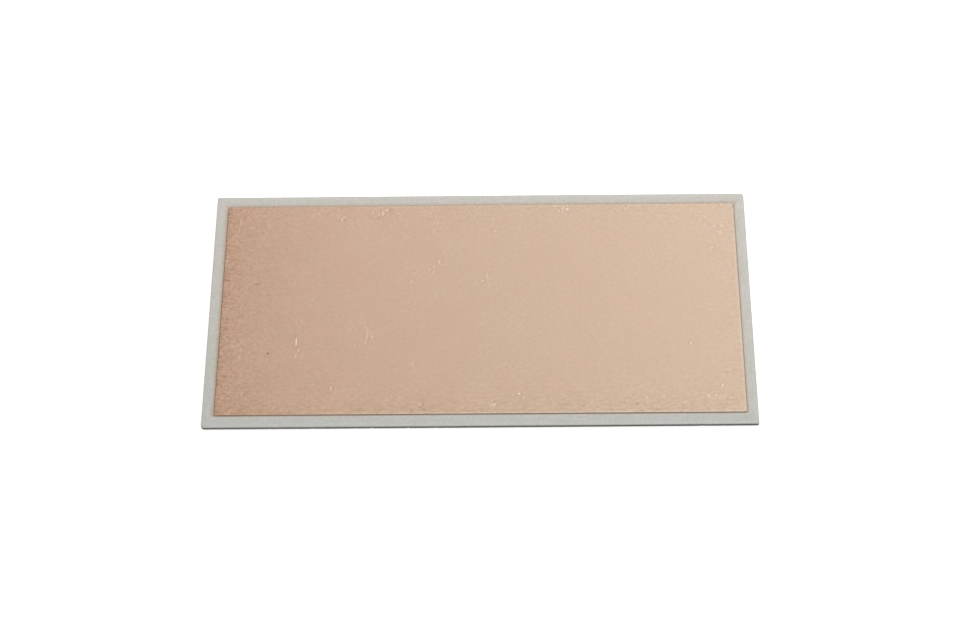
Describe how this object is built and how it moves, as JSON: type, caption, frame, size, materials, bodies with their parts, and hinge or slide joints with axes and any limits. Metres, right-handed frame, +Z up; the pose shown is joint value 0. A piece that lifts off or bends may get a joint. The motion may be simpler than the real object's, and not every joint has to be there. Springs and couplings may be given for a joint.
{
  "type": "copper clad ceramic substrate",
  "caption": "Thin rectangular card of light grey fired ceramic with a matte copper foil bonded to each face and a bare ceramic margin all round.",
  "frame": {"origin": "under the middle of the ceramic sheet, on the surface the card lies on, which is the free face of the back foil", "axes": "+Z up out of the top foil, X along the card's length, Y across its width with +Y away from the picture's camera"},
  "size_m": [0.1, 0.05, 0.0012],
  "materials": {
    "ceramic": "matte",
    "copper": "matte"
  },
  "bodies": {
    "root": {"ceramic_sheet": "ceramic", "copper_top": "copper", "copper_back": "copper"}
  },
  "joints": []
}
